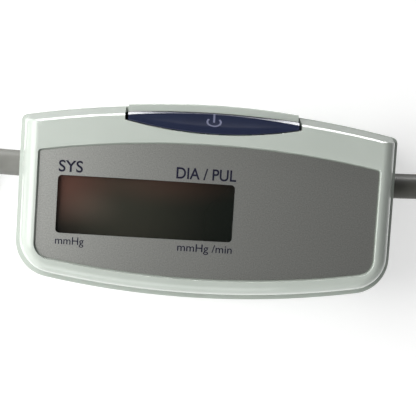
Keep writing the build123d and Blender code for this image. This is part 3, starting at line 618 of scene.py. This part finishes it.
# Rings up the front shell's outside, as a quarter ellipse at the ends and the bottom and a
# leaning wall with a slanted edge at the top.
def outerRings(inset=0.0):
    s = shell
    angle = np.linspace(0, math.pi / 2, s["wallRings"])
    rise, roll = np.sin(angle), 1 - np.cos(angle)
    depth = s["face"] - s["parting"]
    over = np.maximum(0, depth * rise / s["edgeDrop"] - (depth / s["edgeDrop"] - 1))
    edge = s["edge"] * slant(over, s["edgeRound"])
    topCorner = s["topCorner"] - s["cornerShrink"] * rise - inset
    bottomCorner = s["bottomCorner"] - s["sideRoll"] * roll - inset
    return caseRing(s["halfWidth"] - s["sideRoll"] * roll - inset,
                    s["top"] - s["topDraft"] * rise - edge - inset,
                    s["bottom"] + s["bottomRoll"] * roll + inset,
                    np.maximum(s["leastCorner"], topCorner),
                    np.maximum(s["leastCorner"], bottomCorner),
                    s["parting"] + (depth - inset) * rise)


# The shell's section from the parting line up the outside, over the face, down into the panel's
# recess and the window's opening, and back down the inside to the lip.
def makeFrontShell():
    s = shell
    count = outline["notchCount"]
    outside = clampToNotch(outerRings(), 0.0)
    # the notch's upper edge is a quarter of a circle
    over = np.maximum(0, outside[:, :count, 2] - (s["face"] - notch["round"]))
    outside[:, :count, 1] -= sag(notch["round"], np.minimum(over, notch["round"]))
    # the face, straight from the outer edge to the recess, whose rim is rounded
    rim = panelRing(panel["gap"] + s["rim"], s["face"])
    share = np.linspace(0, 1, s["faceRings"] + 1)[1:, None, None]
    face = outside[-1:] * (1 - share) + rim * share
    angles = np.linspace(0, math.pi / 2, s["rimRings"] + 1)[1:]
    bevel = [panelRing(panel["gap"] + s["rim"] * (1 - math.sin(angle)),
                       s["face"] - s["rim"] * (1 - math.cos(angle))) for angle in angles]
    ledge = window["surface"] - window["thick"]
    openings = [panelRing(panel["gap"], s["recess"]), windowRing(window["gap"], s["recess"]),
                windowRing(window["gap"], ledge), windowRing(-window["ledge"], ledge),
                windowRing(-window["ledge"], s["platePlane"])]
    # the inside, as the outside moved in by the wall and cut off under the face
    inside = clampToNotch(outerRings(s["wall"])[::-1], s["wall"])
    inside[..., 2] = np.minimum(inside[..., 2], s["platePlane"])
    # the lip, which has no depth inside the notch
    lipEnd = s["parting"] - lip["depth"]
    lipInner = caseRing(lip["out"] - lip["thick"], lip["top"] - lip["thick"],
                        lip["bottom"] + lip["thick"], lip["topCorner"], lip["innerCorner"],
                        [s["parting"], lipEnd])
    lipOuter = caseRing(lip["out"], lip["top"], lip["bottom"], lip["topCorner"],
                        lip["outerCorner"], [lipEnd, s["parting"]])
    lipInner[:, :count] = inside[-1:, :count]
    lipOuter[:, :count] = outside[:1, :count]
    grid = np.concatenate([outside, face, *bevel, *openings, inside, lipInner, lipOuter])
    return gridPiece("front_shell_skin", grid)


# the film has the display's dark tint with its painted light and painted reflections
place(makeFilm(), "displayTintPaintedLight", "case")
place(makeFrontShell(), "caseWhite", "case", ("front_shell",))
place(makePanel(), "panelSilver", "case", ("face_panel",))
place(makeWindow(), "windowClear", "case", ("display_window",))
print("front made")


# Start button
button = dict(halfLength=29.2, stations=121, crowding=0.35, gap=0.25, top=30.85, foot=23.3,
              band=2.2, taper=0.45, ridgeDrop=0.25, step=0.4, setback=0.3, edge=1.15,
              edgeDrop=1.05, edgeHeight=28.9, edgeRound=0.06, dishDepth=0.08, lean=0.7,
              ridgeRound=0.6, roundShare=0.45, frontRound=0.35,
              counts=dict(front=5, corner=6, band=3, ridge=8, hollow=23, edge=8, back=3))
symbol = dict(middle=0.42, squash=0.64, ring=2.3, line=0.66, gap=50.0, ringCount=49,
              barLow=-0.2, barHigh=4.3, barCount=12, lift=0.04, depth=0.1)


# For stations along the button: a share that goes as the square from 0 in the middle to 1 at the
# ends, the ridge and the brow on both sides of the hollow, the notch edge, and the outer edge.
def buttonLines(x):
    b = button
    part = np.minimum(1, np.abs(x) / b["halfLength"]) ** 2
    low = notchEdge(x) + b["gap"]
    top = b["top"] - sag(outline["topBow"], x)
    ridge = low + b["band"] * (1 - b["taper"] * part)
    ridgeZ = shell["face"] - b["ridgeDrop"] + 0 * x
    brow = top - b["setback"] - (b["edge"] - b["setback"]) * part
    browZ = ridgeZ - (ridgeZ - b["edgeHeight"] - b["step"]) * (1 - part)
    edgeZ = b["edgeHeight"] + (ridgeZ - b["edgeDrop"] - b["edgeHeight"]) * part
    return part, ridge, ridgeZ, brow, browZ, low, top, edgeZ


# A point of the hollow between ridge and brow: a shallow parabola under the straight line.
def dishPoint(x, share):
    part, ridge, ridgeZ, brow, browZ = buttonLines(x)[:5]
    dip = 2 * button["lean"] * button["dishDepth"] * (1 - part) * 2 * share * (1 - share)
    return ridge + (brow - ridge) * share - dip, ridgeZ + (browZ - ridgeZ) * share - dip


# Sections across the button at stations that crowd towards its ends: up the notch edge, over a
# rounded corner and the narrow band, round the ridge as a parabola, through the hollow, over the
# slanted outer edge and down to the foot.
def makeButton():
    b = button
    bend = np.linspace(-1, 1, b["stations"])
    x = column(b["halfLength"] * (np.sin(bend * math.pi / 2) * b["crowding"]
                                  + bend * (1 - b["crowding"])))
    ridge, ridgeZ, brow, browZ, low, top, edgeZ = buttonLines(x)[1:]
    face, front, counts = shell["face"], b["frontRound"], b["counts"]
    bandStart = low + front
    bandEnd = ridge - b["ridgeRound"]

    def bandZ(y):
        return face - b["ridgeDrop"] * (y - bandStart) / (ridge - bandStart)

    chord = np.hypot(brow - ridge, browZ - ridgeZ)
    cut = np.minimum(b["roundShare"], b["ridgeRound"] / chord)
    cutY, cutZ = dishPoint(x, cut)
    up = steps(counts["front"])
    turn = steps(counts["corner"]) * math.pi / 2
    flat = bandStart + (bandEnd - bandStart) * steps(counts["band"] + 2)[:, 1:-1]
    t = steps(counts["ridge"])
    hollow = steps(counts["hollow"] + 1)[:, 1:]
    outer = steps(counts["edge"] + 1)[:, 1:]
    down = steps(counts["back"] + 1)[:, 1:]
    section = [(low + 0 * up, b["foot"] + (face - front - b["foot"]) * up),
               (low + front * (1 - np.cos(turn)), face - front * (1 - np.sin(turn))),
               (flat, bandZ(flat)),
               ((1 - t) ** 2 * bandEnd + 2 * t * (1 - t) * ridge + t ** 2 * cutY,
                (1 - t) ** 2 * bandZ(bandEnd) + 2 * t * (1 - t) * ridgeZ + t ** 2 * cutZ),
               dishPoint(x, cut + (1 - cut) * hollow),
               (brow + (top - brow) * outer,
                browZ - (browZ - edgeZ) * slant(outer, b["edgeRound"])),
               (top + 0 * down, edgeZ + (b["foot"] - edgeZ) * down)]
    grid = np.concatenate([np.stack(np.broadcast_arrays(x + 0 * y, y, z), axis=2)
                           for y, z in section], axis=1)
    return cappedPiece("start_button_cap", grid, sharpAngle=40)


# Lays a flat drawing, u along the button and v up the hollow, onto the hollow's surface. Its
# scale and its normal are those of the hollow in the middle.
def dishMap(u, v):
    ridge, ridgeZ, brow, browZ = buttonLines(0 * u)[1:5]
    chord = np.hypot(brow - ridge, browZ - ridgeZ)
    y, z = dishPoint(u, symbol["middle"] + symbol["squash"] * v / chord)
    normalY, normalZ = -(browZ - ridgeZ) / chord, (brow - ridge) / chord
    return np.stack([u, y, z], axis=-1), np.stack([0 * u, normalY, normalZ], axis=-1)


# A broken ring and a bar, each a strip with a rectangular section, raised from the hollow.
def makeSymbol():
    s = symbol
    gap = math.radians(s["gap"])
    turn = np.linspace(math.pi / 2 + gap, math.pi * 5 / 2 - gap, s["ringCount"])
    edges = s["line"] / 2 * np.array([-1, 1])
    ring = np.stack([np.cos(turn), np.sin(turn)], 1)[:, None] * (s["ring"] + edges)[None, :, None]
    bar = np.stack(np.meshgrid(np.linspace(s["barLow"], s["barHigh"], s["barCount"]), edges,
                               indexing="ij")[::-1], axis=2)
    points, faces, start = [], [], 0
    for flat in (ring, bar):
        surface, normal = dishMap(flat[..., 0], flat[..., 1])
        under, over = surface - s["depth"] * normal, surface + s["lift"] * normal
        section = np.stack([under[:, 0], over[:, 0], over[:, 1], under[:, 1]], axis=1)
        rows, columns = section.shape[:2]
        faces += [[start + k for k in face] for face in
                  gridFaces(rows, columns, False) + capFaces(rows, columns)]
        points.append(section.reshape(-1, 3))
        start += rows * columns
    return meshPiece("standby_mark", np.concatenate(points), faces)


# Dome under the button
dome = dict(y=25.9, foot=21.6, top=23.3, crown=2.0, base=3.2, wall=0.6, travel=1.0, count=64)


# A profile of radius and height turned round the dome's middle: a thin cone and a flat crown.
def makeDome():
    d = dome
    inner = d["top"] - d["wall"]
    profile = np.array([(0, inner), (d["crown"] - d["wall"], inner),
                        (d["base"] - d["wall"], d["foot"]), (d["base"], d["foot"]),
                        (d["base"], d["foot"] + d["wall"] / 2), (d["crown"], d["top"]),
                        (0, d["top"])])
    turn = np.linspace(0, 2 * math.pi, d["count"], endpoint=False)[None]
    radius, height = profile[:, :1], profile[:, 1:]
    grid = np.stack([radius * np.cos(turn), d["y"] + radius * np.sin(turn), height + 0 * turn],
                    axis=2)
    return gridPiece("button_dome_skin", grid, closeRows=False)


domeSkin = makeDome()
place(domeSkin, "silicone", "case", ("button_dome",))
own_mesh(domeSkin)
place(makeButton(), "buttonBlue", "button", ("start_button",))
place(makeSymbol(), "symbolBlue", "button")
print("button made")


# Lettering
labels = [dict(text="SYS", left=-51.55, right=-43.4, base=8.08, height=3.83, bold=0.15),
          dict(text="DIA / PUL", left=-11.7, right=8.8, base=8.1, height=3.8, bold=0.15),
          dict(text="mmHg", left=-51.5, right=-41.84, base=-16.65, height=2.55, bold=0.055),
          dict(text="mmHg /min", left=-9.9, right=8.89, base=-16.7, height=2.6, bold=0.055)]
lettering = dict(ink=0.03, sink=0.05, fontSize=10.0, thick=0.5, curveSteps=6)


# Flat letters as a closed mesh, and its points at the font's own size.
def lettersOf(text, bold):
    data = bpy.data.curves.new("label", "FONT")
    data.body = text
    data.size = lettering["fontSize"]
    data.offset = bold
    data.extrude = lettering["thick"]
    data.resolution_u = lettering["curveSteps"]
    words = bpy.data.objects.new("label", data)
    bpy.context.scene.collection.objects.link(words)
    bpy.context.view_layer.update()
    mesh = bpy.data.meshes.new_from_object(words.evaluated_get(
        bpy.context.evaluated_depsgraph_get()))
    bpy.data.objects.remove(words)
    co = np.empty(len(mesh.vertices) * 3)
    mesh.vertices.foreach_get("co", co)
    return mesh, co.reshape(-1, 3)


# Letters stretched between left and right, with capitals of the given height on the base line.
def makeLabel(facts):
    capHeight = lettersOf("H", facts["bold"])[1][:, 1].max()
    mesh, co = lettersOf(facts["text"], facts["bold"])
    low, high = co[:, 0].min(), co[:, 0].max()
    co[:, 0] = facts["left"] + (co[:, 0] - low) / (high - low) * (facts["right"] - facts["left"])
    co[:, 1] = facts["base"] + co[:, 1] / capHeight * facts["height"]
    co[:, 2] = panel["surface"] + np.where(co[:, 2] > 0, lettering["ink"], -lettering["sink"])
    mesh.vertices.foreach_set("co", (co * mm).ravel())
    name = "label_" + "".join(k for k in facts["text"] if k.isalpha()).lower()
    return finishMesh(name, mesh, smooth=False)


for facts in labels:
    place(makeLabel(facts), "ink", "case")
print("lettering made")


# Floor
paper = dict(half=12.0, low=(0.62, 0.62, 0.62), high=(0.64, 0.64, 0.64), glow=0.50)  # metres


# A large square at height 0, of matt paper that glows a little and isn't seen in reflections.
def makeFloor():
    half = paper["half"]
    mesh = bpy.data.meshes.new("floor")
    mesh.from_pydata([(-half, -half, 0), (half, -half, 0), (half, half, 0), (-half, half, 0)],
                     [], [(0, 1, 2, 3)])
    floor = bpy.data.objects.new("floor", mesh)
    bpy.context.scene.collection.objects.link(floor)
    floor.data.materials.append(plastic("paper", paper["low"], paper["high"], (0.8, 0.9),
                                        (800, 1e-5, 0.1), 5, Emission_Color=(1, 1, 1, 1),
                                        Emission_Strength=paper["glow"]))
    floor.visible_glossy = False


makeFloor()
print("floor laid")
